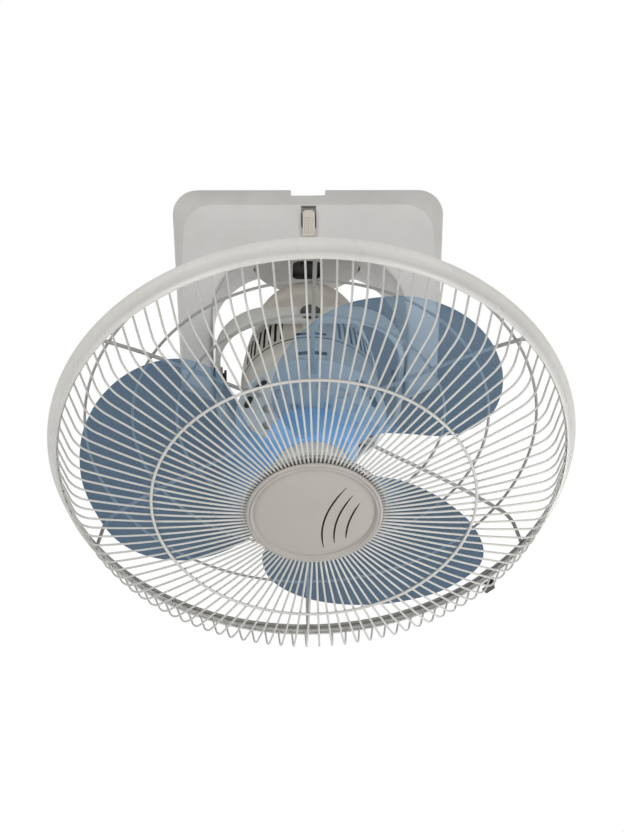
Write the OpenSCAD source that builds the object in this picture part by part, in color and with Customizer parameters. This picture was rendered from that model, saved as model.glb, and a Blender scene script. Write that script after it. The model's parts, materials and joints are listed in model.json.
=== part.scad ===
// Orbiting wall fan, hung from its base plate.
// The origin is the middle of the base plate's upper face, which goes against the mounting surface.
// +Z is up out of the base, and the fan faces -Y and down. Millimetres.

/* [Base] */
// Width of the base housing across its top
base_width = 244; // [225:1:300]
// Depth of the base housing from front to back
base_depth = 120; // [112:1:150]
// Width of the arch between the two arms
arch_width = 172; // [170:1:176]
// Radius of the arch's upper corners
arch_radius = 55; // [20:1:60]
// Drop from the mounting face to the tilt pivot
pivot_drop = 169; // [164:1:200]
// Distance of the tilt pivot behind the front face
pivot_setback = 22; // [18:1:30]
// Radius of the housing's two upper corners
corner_radius = 22; // [10:1:30]
// Width of the notch in the top of the front face
notch_width = 31; // [20:1:60]
// Spacing of the ceiling screws along the base
screw_spacing_x = 160; // [120:1:180]
// Spacing of the ceiling screws across the base
screw_spacing_y = 60; // [40:1:64]
// Diameter of each ceiling screw hole
screw_hole = 5.5; // [4:0.1:7]

/* [Release lever] */
// Width of the release lever
lever_width = 11; // [8:0.5:14]
// Height of the release lever's thumb piece
lever_height = 24; // [20:0.5:30]

/* [Orbit drive] */
// Angle of the head from straight down in the rest pose
head_tilt = 42; // [38:1:44]
// Radius of the orbit motor's can
orbit_motor_radius = 25; // [18:0.5:28]
// Radius of the hollow that the crank turns in
well_radius = 49.5; // [48:0.5:50]

/* [Gimbal] */
// Half the width of the gimbal ring, out to the tilt pins
gimbal_radius = 84; // [82:0.5:84.5]
// Half the height of the gimbal ring, out to the swing pins
gimbal_height = 74; // [73:0.5:80]
// Width of the gimbal ring along the fan axis
gimbal_width = 20; // [14:0.5:20]
// Diameter of the four gimbal pins
gimbal_pin = 8; // [5:0.5:9]

/* [Motor] */
// Radius of the rear dome of the motor housing
dome_radius = 49.5; // [46:0.5:49.5]
// Radius of the motor housing at its widest
motor_radius = 61.5; // [58:0.5:63]
// Diameter of the motor shaft
shaft_diameter = 10; // [8:0.5:12]

/* [Blades] */
// Number of blades
blade_count = 3; // [3:1:4]
// Radius swept by the blade tips
sweep_radius = 200; // [180:1:204]
// Thickness of a blade
blade_thickness = 2; // [1.5:0.1:3]
// Slope of a blade across the fan axis
blade_pitch = 11.3; // [6:0.1:13]

/* [Guard] */
// Outer radius of the guard's rim, at its rear edge
rim_radius = 227.6; // [225:0.1:240]
// Width of the rim along the fan axis
rim_width = 17; // [17:0.5:24]
// How much smaller the rim's radius is at its front edge
rim_taper = 7; // [0:0.1:8]
// Number of radial wires in the front guard
wire_count = 108; // [60:6:108]
// Diameter of the front wires
wire_diameter = 1.8; // [1.6:0.1:2]
// Radius of the ring that crosses the front wires
front_ring_radius = 136.4; // [110:0.1:160]
// Number of ribs in the rear guard
rib_count = 6; // [4:1:8]
// Diameter of the rear ribs
rib_diameter = 3.4; // [2.5:0.1:4]
// Radius of the outermost rear ring
rear_ring_outer = 197; // [180:1:198]
// Radius of the middle rear ring
rear_ring_middle = 156; // [140:1:170]
// Radius of the innermost rear ring
rear_ring_inner = 117.5; // [100:0.5:125]

/* [Cap] */
// Radius of the centre cap
cap_radius = 57.3; // [56:0.1:64]
// Width of each groove in the cap's face
groove_width = 2.2; // [1:0.1:4]

/* [Hidden] */

$fn = 96;
eps = 0.01;
front_y = -base_depth / 2;
pivot_y = front_y + pivot_setback;
half_top = base_width / 2;
half_low = half_top - 8;
arch_half = arch_width / 2;
arch_top = -pivot_drop + 108.5;
arm_outer_end = -pivot_drop - 6.5;
arm_inner_end = -pivot_drop - 19;
wall = 3;
orbit_lean = head_tilt / 2;
stem_end = 114;
crank_low = 116;
crank_top = 121;
crank_reach = stem_end * sin(orbit_lean);
pin_r = gimbal_pin / 2;
bush_r = pin_r + 3;
ring_inner = gimbal_radius - 4.5;
ring_inner_up = gimbal_height - 4.5;
ring_corner = 50;
dome_w = -108 + dome_radius;
shaft_r = shaft_diameter / 2;
skirt_front = 18;
cover_front = 52.5;
plate_t = 1.5;
rim_front = 112.2;
rim_rear = rim_front - rim_width;
rim_ring = 1.6;
// Outer radius of the rim, and the radius of a wire ring that sits inside it, at a distance w along the axis.
function rim_at(w) = rim_radius - rim_taper * (w - rim_rear) / rim_width;
function rim_ring_at(w) = rim_at(w) - 3.63;
wire_r = wire_diameter / 2;
rib_r = rib_diameter / 2;
// Front wire profile in the plane of the fan axis: radius first, then distance along the axis.
edge_r = rim_ring_at(rim_front - 3.5) - 0.8;
edge_w = rim_front - 1.95;
bend_c = [rim_radius - 42.7, rim_front + 11.5];
bend_r = 25;
bend_end = 75;
sweep_r2 = 780;
sweep_c = [bend_c[0] - (sweep_r2 - bend_r) * cos(bend_end), bend_c[1] - (sweep_r2 - bend_r) * sin(bend_end)];
edge_v = [edge_r - bend_c[0], edge_w - bend_c[1]];
edge_d = norm(edge_v);
bend_start = atan2(edge_v[1], edge_v[0]) + acos(bend_r / edge_d);
wire_in = 52.3;
sweep_end = acos((wire_in - sweep_c[0]) / sweep_r2);
cap_seat = wire_front(54) + wire_r + 0.2;
function wire_front(r) = sweep_c[1] + sqrt(sweep_r2 * sweep_r2 - pow(r - sweep_c[0], 2));
// Rear rib profile.
rib_r1 = 125;
rib_w0 = cover_front + plate_t + rib_r + 0.5;
rib_a1 = 3.3;
rib_w1 = rib_w0 + (rib_r1 - 60) * tan(rib_a1);
rib_a2 = 11.5;
rib_r2 = rim_radius - 27.2;
rib_R = (rib_r2 - rib_r1) / (sin(rib_a2) - sin(rib_a1));
rib_w2 = rib_w1 + rib_R * (cos(rib_a1) - cos(rib_a2));
rib_B = 19;
rib_a3 = 75;
rib_r3 = rib_r2 + rib_B * (sin(rib_a3) - sin(rib_a2));
rib_w3 = rib_w2 + rib_B * (cos(rib_a2) - cos(rib_a3));
rib_end_w = rim_rear + 6;
rib_len = (rib_end_w - rib_w3) / sin(rib_a3);
rib_end_r = rib_r3 + rib_len * cos(rib_a3);
function rib_at(r) = r < rib_r1 ? rib_w1 - (rib_r1 - r) * tan(rib_a1)
    : rib_w1 + rib_R * cos(rib_a1) - sqrt(rib_R * rib_R - pow(rib_R * sin(rib_a1) + r - rib_r1, 2));
hub_back = 88;
hub_front = 122;
blade_w = 120;
// Blade outline: distance out along the blade, then sideways, for a sweep radius of 200.
blade_outline = [
    [24, 20], [40, 46], [51, 60], [73, 74], [98, 82], [120, 84], [144, 80], [164, 71], [180, 56],
    [191, 34], [197.5, 12], [199, -8], [196, -32], [189, -54], [176, -77], [160, -95], [144, -107],
    [126, -115], [106, -118], [88, -113], [74, -103], [64, -86], [57, -60], [48, -36], [28, -20]
];

// Frames: the tilt pivot, the head along the fan axis, and the orbit drive.
module at_pivot() {
    translate([0, pivot_y, -pivot_drop])
        children();
}

module in_head() {
    at_pivot()
        rotate([180 - head_tilt, 0, 0])
            children();
}

module in_orbit() {
    at_pivot()
        rotate([-orbit_lean, 0, 0])
            children();
}

module tube(r1, r0, h) {
    difference() {
        cylinder(r = r1, h = h);
        translate([0, 0, -1])
            cylinder(r = r0, h = h + 2);
    }
}

// A bent wire piece in the plane of the fan axis, turned about the axis by phi.
module wire_arc(c, radius, a0, a1, r) {
    rotate([90, 0, 0])
        translate([c[0], c[1], 0])
            rotate([0, 0, a0])
                rotate_extrude(angle = a1 - a0)
                    translate([radius, 0])
                        circle(r = r);
}

module wire_line(p, q, r) {
    d = q - p;
    translate([p[0], 0, p[1]])
        rotate([0, atan2(d[0], d[1]), 0])
            cylinder(r = r, h = norm(d));
}

module ring_wire(radius, w, r) {
    translate([0, 0, w])
        rotate_extrude()
            translate([radius, 0])
                circle(r = r);
}

// The base and what is inside it.
// Right half of the housing's outline, and of its flat front face inside the bevel.
function outline_right() = concat(
    [for (a = [90:-9:0]) [half_top - corner_radius + corner_radius * cos(a),
        -corner_radius + corner_radius * sin(a)]],
    [[half_low, arm_outer_end], [arch_half, arm_inner_end]]
);
function face_right() = [
    [half_top - 34, -15], [half_top - 22, -16.4], [half_top - 15, -20], [half_top - 11.6, -26],
    [half_top - 9.9, -34], [half_top - 8, -54], [half_top - 7.2, -76],
    [half_low - 1.5, arm_outer_end + 1.5], [arch_half, arm_inner_end + 2]
];

module both_sides(right) {
    polygon(concat(right, [for (i = [len(right) - 1:-1:0]) [-right[i][0], right[i][1]]]));
}

module across_x(y, t) {
    translate([0, y + t, 0])
        rotate([90, 0, 0])
            linear_extrude(height = t)
                children();
}

module along_x(x, t) {
    translate([x, 0, 0])
        rotate([90, 0, 90])
            linear_extrude(height = t)
                children();
}

module arch_shape() {
    translate([-arch_half, arm_inner_end - 20])
        square([arch_width, arch_top - arch_radius - arm_inner_end + 20]);
    translate([-(arch_half - arch_radius), arch_top - arch_radius - eps])
        square([arch_width - 2 * arch_radius, arch_radius + eps]);
    for (s = [-1, 1])
        translate([s * (arch_half - arch_radius), arch_top - arch_radius])
            circle(r = arch_radius);
}

module base_housing() {
    color("#c8c6bf")
    difference() {
        hull() {
            across_x(front_y, 1)
                both_sides(face_right());
            across_x(front_y + 11, base_depth - 11)
                both_sides(outline_right());
        }
        across_x(front_y - 5, base_depth + 10) arch_shape();
        // The arms lean back only at their tops.
        along_x(-half_top - 5, base_width + 10)
            polygon([
                [-front_y + 0.1, arch_top - 10], [pivot_y + 24, arm_inner_end - 3],
                [-front_y + 20, arm_inner_end - 20]
            ]);
        // Hollow of the top bar, open above.
        translate([-(half_top - 14), front_y + 4, arch_top + wall])
            cube([2 * (half_top - 14), base_depth - 7, -arch_top - wall - 19]);
        translate([-(half_top - 14), front_y + 15, arch_top + wall])
            cube([2 * (half_top - 14), base_depth - 18, -arch_top - wall + 1]);
        // Seat of the mounting plate.
        translate([-(half_top - 11), front_y + 13, -2.3])
            cube([2 * (half_top - 11), base_depth - 16, 5]);
        // Hollow of each arm.
        for (s = [0, 1])
            mirror([s, 0, 0])
                along_x(arch_half + wall, half_low - arch_half - 2 * wall)
                    polygon([
                        [front_y + 4, arch_top + wall + 1], [-front_y - 8, arch_top + wall + 1],
                        [-front_y - 8, arch_top - 12], [pivot_y + 33, -pivot_drop + 18],
                        [front_y + 4, -pivot_drop + 18]
                    ]);
        // Hollow that the crank turns in.
        in_orbit()
            translate([0, 0, 96])
                cylinder(r = well_radius, h = 26);
        in_orbit()
            translate([0, 0, 110])
                cylinder(r = orbit_motor_radius + 1.5, h = 34);
        // Notch and lever slot in the front.
        translate([-notch_width / 2, front_y - 1, -7])
            cube([notch_width, 17, 10]);
        translate([-lever_width / 2 - 1.2, front_y - 1, -37])
            cube([lever_width + 2.4, 12, 20]);
        // Pin sockets in the arms.
        at_pivot()
            rotate([0, 90, 0])
                translate([0, 0, -half_top])
                    cylinder(r = pin_r + 0.02, h = base_width);
        // Slots for the mounting plate's rear hooks.
        for (s = [-1, 1])
            translate([s * 60 - 8, -front_y - 4, -16])
                cube([16, 2.6, 6]);
    }
}

module mounting_plate() {
    hole_r = screw_hole / 2;
    color("#b9bcbe")
    difference() {
        union() {
            translate([-(half_top - 11.3), front_y + 13.3, -2])
                cube([2 * (half_top - 11.3), base_depth - 16.6, 2]);
            // Tongue that the release lever holds.
            translate([-notch_width / 2 - 4.5, front_y + 17.2, -16])
                cube([notch_width + 9, 2, 11]);
            for (x = [-notch_width / 2 - 4.5, notch_width / 2 + 1.5])
                translate([x, front_y + 17.2, -16])
                    cube([3, 2, 15]);
            translate([-7, front_y + 15.6, -16])
                cube([14, 3, 2]);
            // Rear hooks.
            for (s = [-1, 1]) {
                translate([s * 60 - 7, -front_y - 6, -15])
                    cube([14, 1.6, 14]);
                translate([s * 60 - 7, -front_y - 6, -15])
                    cube([14, 4, 1.6]);
            }
        }
        for (x = [-1, 1], y = [-1, 1])
            translate([x * screw_spacing_x / 2, y * screw_spacing_y / 2, -5])
                cylinder(r = hole_r, h = 10);
        translate([-58, 0, -5])
            cylinder(r = 9, h = 10);
        // Notch behind the one in the housing.
        translate([-notch_width / 2 - 1, front_y + 12, -4.5])
            cube([notch_width + 2, 22, 10]);
    }
}

module cable_grommet() {
    color("#232323")
    translate([-58, 0, -4.5])
        difference() {
            union() {
                cylinder(r = 11.5, h = 2.2);
                cylinder(r = 8.8, h = 4.5);
            }
            translate([0, 0, -1])
                cylinder(r = 4.5, h = 8);
        }
}

module terminal_block() {
    color("#e8e4d8")
    translate([-80, -16, -16])
        difference() {
            translate([-9, 0, 0])
                cube([18, 38, 13.7]);
            for (i = [0:2])
                translate([0, 7 + 12 * i, -1])
                    cylinder(r = 2.2, h = 9);
            for (i = [0:2])
                translate([-15, 7 + 12 * i, 6])
                    rotate([0, 90, 0])
                        cylinder(r = 1.8, h = 30);
        }
}

module release_lever() {
    w = lever_width;
    color("#cfc8bd")
    difference() {
        union() {
            // Thumb piece outside the front face, with its two top corners cut off.
            across_x(front_y - 4.4, 3.8)
                polygon([
                    [-w / 2, -21.3 - lever_height], [w / 2, -21.3 - lever_height],
                    [w / 2, -23.8], [w / 2 - 2.5, -21.3], [-w / 2 + 2.5, -21.3], [-w / 2, -23.8]
                ]);
            // Stem through the slot, and the catch behind it.
            translate([-w / 2, front_y - 1, -29])
                cube([w, 13, 7]);
            translate([-w / 2, front_y + 11, -29])
                cube([w, 7.4, 5]);
            translate([-w / 2, front_y + 15.6, -25])
                cube([w, 2.8, 8.7]);
        }
        // Grip grooves.
        for (i = [0:3])
            translate([-w / 2 - 1, front_y - 4.9, -43.3 + 2.4 * i + (24 - lever_height)])
                cube([w + 2, 0.9, 1]);
    }
}

module lever_spring() {
    color("#8f9294")
    translate([0, front_y + 8.5, -37])
        for (i = [0:5])
            translate([0, 0, 0.55 + 1.28 * i])
                rotate_extrude()
                    translate([3, 0])
                        circle(r = 0.5);
}

module spring_seat() {
    color("#c8c6bf")
    translate([0, front_y + 8.5, arch_top + wall + 0.2])
        cylinder(r = 3.8, h = -37.3 - arch_top - wall);
}

module orbit_motor() {
    color("#a9abad")
    in_orbit()
        difference() {
            union() {
                translate([0, 0, 124.5])
                    cylinder(r = orbit_motor_radius, h = 17.5);
                translate([0, 0, 122.2])
                    cylinder(r = 8, h = 3);
            }
            translate([0, 0, 120])
                cylinder(r = 3.05, h = 16);
            for (s = [-1, 1])
                translate([s * 18, 0, 138])
                    cylinder(r = 1.6, h = 8);
        }
}

module orbit_bracket() {
    color("#b9bcbe")
    difference() {
        union() {
            in_orbit()
                translate([-35, -30, 142.3])
                    cube([70, 60, 2]);
            for (s = [-35, 33])
                along_x(s, 2)
                    intersection() {
                        translate([pivot_y, -pivot_drop])
                            rotate(-orbit_lean)
                                translate([-30, 142.3])
                                    square([60, 60]);
                        translate([-60, -90])
                            square([140, 87.7]);
                    }
        }
        in_orbit()
            for (s = [-1, 1])
                translate([s * 18, 0, 130])
                    cylinder(r = 1.7, h = 20);
    }
}

module orbit_motor_screws() {
    color("#8f9294")
    in_orbit()
        for (s = [-1, 1])
            translate([s * 18, 0, 0]) {
                translate([0, 0, 139])
                    cylinder(r = 1.5, h = 6);
                translate([0, 0, 144.4])
                    cylinder(r = 3, h = 2);
            }
}

module crank() {
    color("#6f7274")
    in_orbit() {
        translate([0, 0, crank_low])
            cylinder(r = well_radius - 1, h = crank_top - crank_low - 1);
        translate([0, 0, crank_low])
            cylinder(r = 12, h = crank_top - crank_low);
        translate([0, crank_reach, crank_low - 3.4])
            cylinder(r = 7, h = 4);
        translate([0, 0, crank_top - 1])
            cylinder(r = 3, h = 13);
        translate([0, crank_reach, 110.6])
            cylinder(r = 3, h = 7);
    }
}

module tilt_pins() {
    color("#8a8d8f")
    at_pivot()
        for (s = [0, 1])
            mirror([s, 0, 0])
                rotate([0, 90, 0]) {
                    translate([0, 0, ring_inner - 3.4])
                        cylinder(r = pin_r, h = arch_half + 14 - ring_inner);
                    translate([0, 0, ring_inner - 5.4])
                        cylinder(r = pin_r + 2.5, h = 2.2);
                }
}

// The gimbal ring between the base and the motor.
module gimbal_bosses(r, out) {
    for (a = [0:90:270])
        rotate([0, 0, a])
            rotate([0, 90, 0])
                translate([0, 0, (a % 180 == 0 ? ring_inner : ring_inner_up) - 2])
                    cylinder(r = r, h = out);
}

module ring_shape(half_x, half_y, corner) {
    square([2 * half_x, 2 * (half_y - corner)], center = true);
    square([2 * (half_x - corner), 2 * half_y], center = true);
    for (x = [-1, 1], y = [-1, 1])
        translate([x * (half_x - corner), y * (half_y - corner)])
            circle(r = corner);
}

module gimbal_ring() {
    color("#b5b2a8")
    in_head()
        difference() {
            union() {
                translate([0, 0, -gimbal_width / 2])
                    linear_extrude(height = gimbal_width)
                        difference() {
                            ring_shape(gimbal_radius, gimbal_height, ring_corner);
                            ring_shape(ring_inner, ring_inner_up, ring_corner - 4.5);
                        }
                gimbal_bosses(bush_r + 2.6, 6.7);
            }
            gimbal_bosses(bush_r + 0.02, 20);
        }
}

module gimbal_bushes() {
    color("#1d1e20")
    in_head()
        for (a = [0:90:270])
            rotate([0, 0, a])
                rotate([0, 90, 0])
                    translate([0, 0, (a % 180 == 0 ? ring_inner : ring_inner_up) - 2])
                        difference() {
                            union() {
                                cylinder(r = bush_r, h = 6.8);
                                translate([0, 0, 6.8])
                                    cylinder(r = bush_r + 2.2, h = 1.2);
                            }
                            translate([0, 0, -1])
                                cylinder(r = pin_r + 0.05, h = 12);
                        }
}

// The motor housing and what is inside it.
function skirt_r(w) = dome_radius + (motor_radius - dome_radius) * sin(90 * (w - dome_w) / (skirt_front - dome_w));

module skirt_profile(inset) {
    n = 10;
    ws = [for (i = [0:n]) dome_w + (skirt_front - dome_w) * i / n];
    polygon(concat(
        [for (w = ws) [skirt_r(w), w]],
        [for (i = [n:-1:0]) [skirt_r(ws[i]) - inset, ws[i]]]
    ));
}

module motor_rear_cover() {
    color("#beb7aa")
    in_head()
        difference() {
            union() {
                rotate_extrude() {
                    skirt_profile(2.5);
                    translate([0, dome_w])
                        intersection() {
                            difference() {
                                circle(r = dome_radius);
                                circle(r = dome_radius - 2.4);
                            }
                            translate([0, -100])
                                square([100, 100 + eps]);
                        }
                    // Web that carries the rear bearing.
                    translate([11.03, -46])
                        square([skirt_r(-44.5) - 12.2, 3]);
                    translate([11.03, -53])
                        square([3, 10]);
                }
                // Boss of the rear stem.
                translate([0, 0, -107])
                    cylinder(r = 8, h = 8);
                // Bosses of the two swing pins.
                for (s = [0, 1])
                    rotate([0, 0, 180 * s])
                        rotate([-90, 0, 0])
                            translate([0, 0, 59])
                                cylinder(r = pin_r + 4.5, h = ring_inner_up - 61.8);
            }
            translate([0, 0, -120])
                cylinder(r = 4.52, h = 30);
            rotate([90, 0, 0])
                translate([0, 0, -100])
                    cylinder(r = pin_r + 0.02, h = 200);
            // Cooling slots in four groups.
            for (g = [0:3], i = [0:7])
                rotate([0, 0, 26 + 5.6 * i + 90 * g - (g % 2) * 1.2])
                    translate([45, -1.4, -15])
                        cube([22, 2.8, 29]);
            // Short vents above and below.
            for (g = [0, 180], s = [-1, 1])
                rotate([0, 0, 90 + g + s * 8.2])
                    translate([50, -5, 11.4])
                        cube([20, 10, 3.2]);
        }
}

module motor_front_cover() {
    r = motor_radius;
    pts = [
        [r, skirt_front + 0.3], [r, 26], [r - 1.4, 32], [r - 4.2, 38.5], [r - 8.5, 44], [r - 15, 48.4],
        [r - 24, 51.4], [r - 33, cover_front], [14, cover_front]
    ];
    inner = [
        [14, cover_front - 2.6], [r - 33, cover_front - 2.6], [r - 25, 48.6], [r - 16.6, 45.8],
        [r - 10.4, 41.8], [r - 6.5, 36.8], [r - 3.9, 31], [r - 2.6, 26], [r - 2.6, skirt_front + 0.3]
    ];
    color("#beb7aa")
    in_head()
        difference() {
            rotate_extrude() {
                polygon(concat(pts, inner));
                translate([11.03, 40])
                    square([3, cover_front - 40]);
            }
            // Round the front: oval cooling holes in pairs.
            for (i = [0:15])
                rotate([0, 0, 11.25 + 22.5 * i])
                    translate([r - 13, -5 + (i % 2) * 1.6, 30])
                        cube([5.6, 10 - (i % 2) * 3.2, 30]);
            for (g = [0, 180], s = [-1, 1])
                rotate([0, 0, 90 + g + s * 8.2])
                    translate([50, -5.5, 34.5])
                        cube([20, 11, 3]);
            for (i = [0:3])
                rotate([0, 0, 45 + 90 * i])
                    translate([20, 0, 40])
                        cylinder(r = 1.6, h = 30);
        }
}

module cover_screws() {
    color("#8f9294")
    in_head()
        for (i = [0:3])
            rotate([0, 0, 45 + 90 * i])
                translate([20, 0, 0]) {
                    translate([0, 0, 46])
                        cylinder(r = 1.5, h = cover_front + plate_t - 46);
                    translate([0, 0, cover_front + plate_t])
                        difference() {
                            cylinder(r = 3.2, h = 2.2);
                            translate([-2.2, -0.4, 1.2])
                                cube([4.4, 0.8, 2]);
                        }
                }
}

module stator_core() {
    color("#77797c")
    in_head()
        translate([0, 0, -22])
            difference() {
                cylinder(r = skirt_r(-22) - 2.8, h = 34);
                translate([0, 0, -1])
                    cylinder(r = 33.9, h = 40);
            }
}

module windings() {
    color("#b06a3a")
    in_head()
        for (w = [-33.3, 12.3])
            translate([0, 0, w])
                rotate_extrude()
                    union() {
                        translate([37, 0])
                            square([14, 11]);
                        translate([35, 2])
                            square([18, 7]);
                    }
}

module bearings() {
    color("#9b9ea0")
    in_head()
        for (w = [-53, 42.5])
            translate([0, 0, w])
                tube(11, shaft_r + 0.03, 8);
}

module rear_stem() {
    color("#8a8d8f")
    in_head() {
        translate([0, 0, -stem_end + 2])
            cylinder(r = 4.5, h = stem_end - 100);
        translate([0, 0, -stem_end])
            cylinder(r1 = 2.5, r2 = 4.5, h = 2 + eps);
    }
}

module swing_pins() {
    color("#8a8d8f")
    in_head()
        for (s = [0, 1])
            rotate([0, 0, 180 * s])
                rotate([-90, 0, 0]) {
                    translate([0, 0, 58.5])
                        cylinder(r = pin_r, h = gimbal_height + 3 - 58.5);
                    translate([0, 0, gimbal_height + 2])
                        cylinder(r = pin_r + 2.5, h = 2.2);
                }
}

// What turns with the motor shaft.
module motor_shaft() {
    color("#a6a9ab")
    in_head()
        translate([0, 0, -58])
            cylinder(r = shaft_r, h = 58 + hub_front + 8);
}

module rotor() {
    color("#6d7073")
    in_head()
        translate([0, 0, -22])
            tube(33.4, shaft_r, 34);
}

module drive_pin() {
    color("#a6a9ab")
    in_head()
        translate([0, 0, hub_back - 1.7])
            difference() {
                rotate([0, 90, 0])
                    translate([0, 0, -13])
                        cylinder(r = 1.5, h = 26);
                translate([0, 0, -5])
                    cylinder(r = shaft_r, h = 10);
            }
}

module blade_shell() {
    big = 620;
    rotate([0, blade_pitch, 0])
        translate([0, 0, big - 7])
            rotate([-90, 0, 0])
                difference() {
                    cylinder(r = big, h = 260, $fn = 720);
                    translate([0, 0, -1])
                        cylinder(r = big - blade_thickness, h = 262, $fn = 720);
                }
}

module blade_set() {
    k = sweep_radius / 200;
    color("#7fa6cf")
    in_head()
        difference() {
            union() {
                translate([0, 0, hub_back])
                    cylinder(r1 = 41, r2 = 36, h = hub_front - hub_back);
                for (i = [0:blade_count - 1])
                    rotate([0, 0, 185 - 90 - 360 / blade_count * i])
                        intersection() {
                            translate([0, 0, hub_back - 12])
                                linear_extrude(height = 80)
                                    polygon([for (p = blade_outline) [-p[1] * k, p[0] * k]]);
                            translate([0, 0, blade_w])
                                blade_shell();
                        }
            }
            translate([0, 0, hub_back - 30])
                cylinder(r = shaft_r + 0.02, h = 100);
            // The hub is a hollow cup, open behind round its sleeve.
            translate([0, 0, hub_back - 1])
                difference() {
                    cylinder(r = 33, h = hub_front - hub_back - 3);
                    translate([0, 0, -1])
                        cylinder(r = 11, h = hub_front - hub_back);
                }
        }
}

module spinner_nut() {
    color("#d9d6cf")
    in_head()
        difference() {
            union() {
                translate([0, 0, hub_front + 0.3])
                    cylinder(r = 34, h = 7);
                translate([0, 0, hub_front + 7.3])
                    cylinder(r1 = 34, r2 = 29, h = 5);
                translate([0, 0, hub_front + 12.3])
                    cylinder(r1 = 29, r2 = 20, h = 3);
            }
            translate([0, 0, hub_front - 5])
                cylinder(r = shaft_r + 0.02, h = 14);
            for (i = [0:11])
                rotate([0, 0, 30 * i])
                    translate([36, 0, hub_front - 1])
                        cylinder(r = 3.5, h = 20);
        }
}

// The wire guard and its cap.
module rear_plate() {
    color("#c9c6be")
    in_head()
        translate([0, 0, cover_front])
            difference() {
                cylinder(r = 66, h = plate_t);
                translate([0, 0, -1])
                    cylinder(r = 14.3, h = 5);
                for (i = [0:3])
                    rotate([0, 0, 45 + 90 * i])
                        translate([20, 0, -1])
                            cylinder(r = 1.6, h = 5);
                for (i = [0:11])
                    rotate([0, 0, 15 + 30 * i])
                        translate([38, 0, -1])
                            cylinder(r = 6, h = 5);
            }
}

module rear_ribs() {
    color("#c9c6be")
    in_head()
        for (i = [0:rib_count - 1])
            rotate([0, 0, 90 + 360 / rib_count * i]) {
                wire_line([52, rib_w1 - (rib_r1 - 52) * tan(rib_a1)], [rib_r1, rib_w1], rib_r);
                wire_arc([rib_r1 - rib_R * sin(rib_a1), rib_w1 + rib_R * cos(rib_a1)], rib_R,
                    rib_a1 - 89.997, rib_a2 - 90.003, rib_r);
                wire_arc([rib_r2 - rib_B * sin(rib_a2), rib_w2 + rib_B * cos(rib_a2)], rib_B,
                    rib_a2 - 89.95, rib_a3 - 90.05, rib_r);
                wire_line([rib_r3, rib_w3], [rib_end_r, rib_end_w], rib_r);
            }
}

module rear_rings() {
    color("#c9c6be")
    in_head()
        for (r = [rear_ring_inner, rear_ring_middle, rear_ring_outer])
            ring_wire(r, rib_at(r) - rib_r - 1.25, 1.25);
}

module rear_edge_ring() {
    color("#c9c6be")
    in_head()
        ring_wire(rim_ring_at(rim_rear + 3.5), rim_rear + 3.5, rim_ring);
}

module rim_hoop() {
    front_r = rim_at(rim_front);
    color("#d2cfc8")
    in_head()
        rotate_extrude()
            polygon([
                [rim_radius - 2.9, rim_rear], [rim_radius - 1.2, rim_rear], [rim_radius - 0.3, rim_rear + 0.5],
                [rim_at(rim_rear + 1.4), rim_rear + 1.4], [rim_at(rim_front - 1.4), rim_front - 1.4],
                [front_r - 0.3, rim_front - 0.5], [front_r - 1.1, rim_front], [front_r - 2.3, rim_front],
                [front_r - 2.3, rim_front - 1.6], [rim_at(rim_front - 1.6) - 1.68, rim_front - 1.6],
                [rim_at(rim_rear + 1.6) - 1.68, rim_rear + 1.6], [rim_radius - 2.9, rim_rear + 1.6]
            ]);
}

module front_edge_ring() {
    color("#d2cfc8")
    in_head()
        ring_wire(rim_ring_at(rim_front - 3.5), rim_front - 3.5, rim_ring);
}

module front_wires() {
    color("#dedbd4")
    in_head()
        for (i = [0:wire_count - 1])
            rotate([0, 0, 2.57 + 360 / wire_count * i]) {
                wire_line([edge_r, edge_w], bend_c + bend_r * [cos(bend_start), sin(bend_start)], wire_r);
                wire_arc(bend_c, bend_r, bend_start + 0.05, bend_end - 0.05, wire_r);
                wire_arc(sweep_c, sweep_r2, bend_end, sweep_end, wire_r);
            }
}

module front_ring() {
    color("#dedbd4")
    in_head()
        ring_wire(front_ring_radius, wire_front(front_ring_radius) + wire_r + 1.3, 1.25);
}

module inner_ring() {
    color("#dedbd4")
    in_head()
        ring_wire(60, wire_front(60) - wire_r - 1.3, 1.25);
}

module rim_clip() {
    color("#26282a")
    in_head()
        rotate([0, 0, 316])
            translate([rim_radius + 0.3, -5, rim_rear - 2]) {
                cube([2.2, 10, rim_width + 4]);
                for (w = [0, rim_width + 2.2])
                    translate([-4, 0, w])
                        cube([5, 10, 1.8]);
            }
}

module cap_plate() {
    color("#b9b4ab")
    in_head()
        translate([0, 0, wire_front(cap_radius) - wire_r - 2.1])
            difference() {
                cylinder(r = cap_radius, h = 1.5);
                translate([0, 0, -1])
                    cylinder(r = 2.2, h = 5);
            }
}

module cap_screw() {
    color("#8f9294")
    in_head()
        translate([0, 0, wire_front(cap_radius) - wire_r - 4.3]) {
            cylinder(r = 4, h = 2.1);
            cylinder(r = 2, h = 7);
        }
}

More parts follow.
